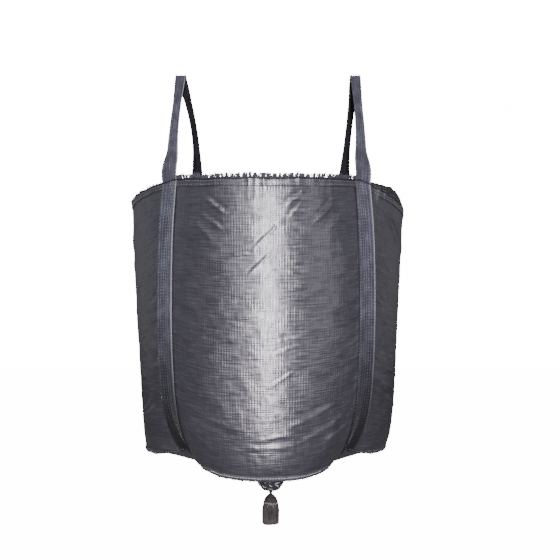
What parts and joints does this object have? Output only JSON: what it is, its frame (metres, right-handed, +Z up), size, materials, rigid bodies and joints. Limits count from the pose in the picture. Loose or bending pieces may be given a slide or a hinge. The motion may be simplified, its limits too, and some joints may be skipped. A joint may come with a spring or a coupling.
{
  "type": "bulk bag",
  "caption": "Filled woven bulk bag with webbing corner straps, two lifting loops, a skirt folded inside the top and a tied discharge spout below.",
  "frame": {"origin": "centre of the round outlet in the base, where the discharge spout leaves the bag", "axes": "+Z up, -Y is the front, +X to the right seen from the front; the left and right loops fold about lines along Y"},
  "size_m": [1.218, 1.218, 2.0252],
  "materials": {
    "coated_fabric": "coated woven polypropylene, half gloss",
    "skirt_fabric": "uncoated woven polypropylene, matte",
    "spout_fabric": "uncoated woven polypropylene, matte",
    "webbing": "ribbed woven webbing, matte",
    "raw_flange": "raw woven edge, matte",
    "tie_cord": "twisted cord, matte"
  },
  "bodies": {
    "bag": {"front_panel": "coated_fabric", "right_panel": "coated_fabric", "rear_panel": "coated_fabric", "left_panel": "coated_fabric", "base_panel": "coated_fabric", "outlet_patch": "coated_fabric", "top_skirt": "skirt_fabric", "front_right_strap": "webbing", "rear_right_strap": "webbing", "rear_left_strap": "webbing", "front_left_strap": "webbing", "front_rim_hem": "coated_fabric", "right_rim_hem": "coated_fabric", "rear_rim_hem": "coated_fabric", "left_rim_hem": "coated_fabric", "front_base_seam": "raw_flange", "right_base_seam": "raw_flange", "rear_base_seam": "raw_flange", "left_base_seam": "raw_flange", "front_right_corner_seam": "coated_fabric", "rear_right_corner_seam": "coated_fabric", "rear_left_corner_seam": "coated_fabric", "front_left_corner_seam": "coated_fabric", "closure_sleeve": "spout_fabric", "closure_cord": "tie_cord"},
    "left_loop": {"left_loop": "webbing"},
    "right_loop": {"right_loop": "webbing"},
    "spout_neck": {"spout_neck": "spout_fabric"},
    "spout_bundle": {"spout_bundle": "spout_fabric", "spout_tie": "tie_cord"}
  },
  "joints": [
    {"name": "left_loop_fold", "type": "hinge", "parent": "bag", "child": "left_loop", "pos_m": [-0.369, 0, 1.248], "axis": [0, -1, 0], "range_deg": [-38, 85]},
    {"name": "right_loop_fold", "type": "hinge", "parent": "bag", "child": "right_loop", "pos_m": [0.369, 0, 1.248], "axis": [0, 1, 0], "range_deg": [-38, 85]},
    {"name": "spout_side_swing", "type": "hinge", "parent": "bag", "child": "spout_neck", "pos_m": [0, 0, -0.094], "axis": [0, 1, 0], "range_deg": [-20, 20]},
    {"name": "spout_bundle_swing", "type": "hinge", "parent": "spout_neck", "child": "spout_bundle", "pos_m": [0, 0, -0.125], "axis": [1, 0, 0], "range_deg": [-50, 50]}
  ]
}
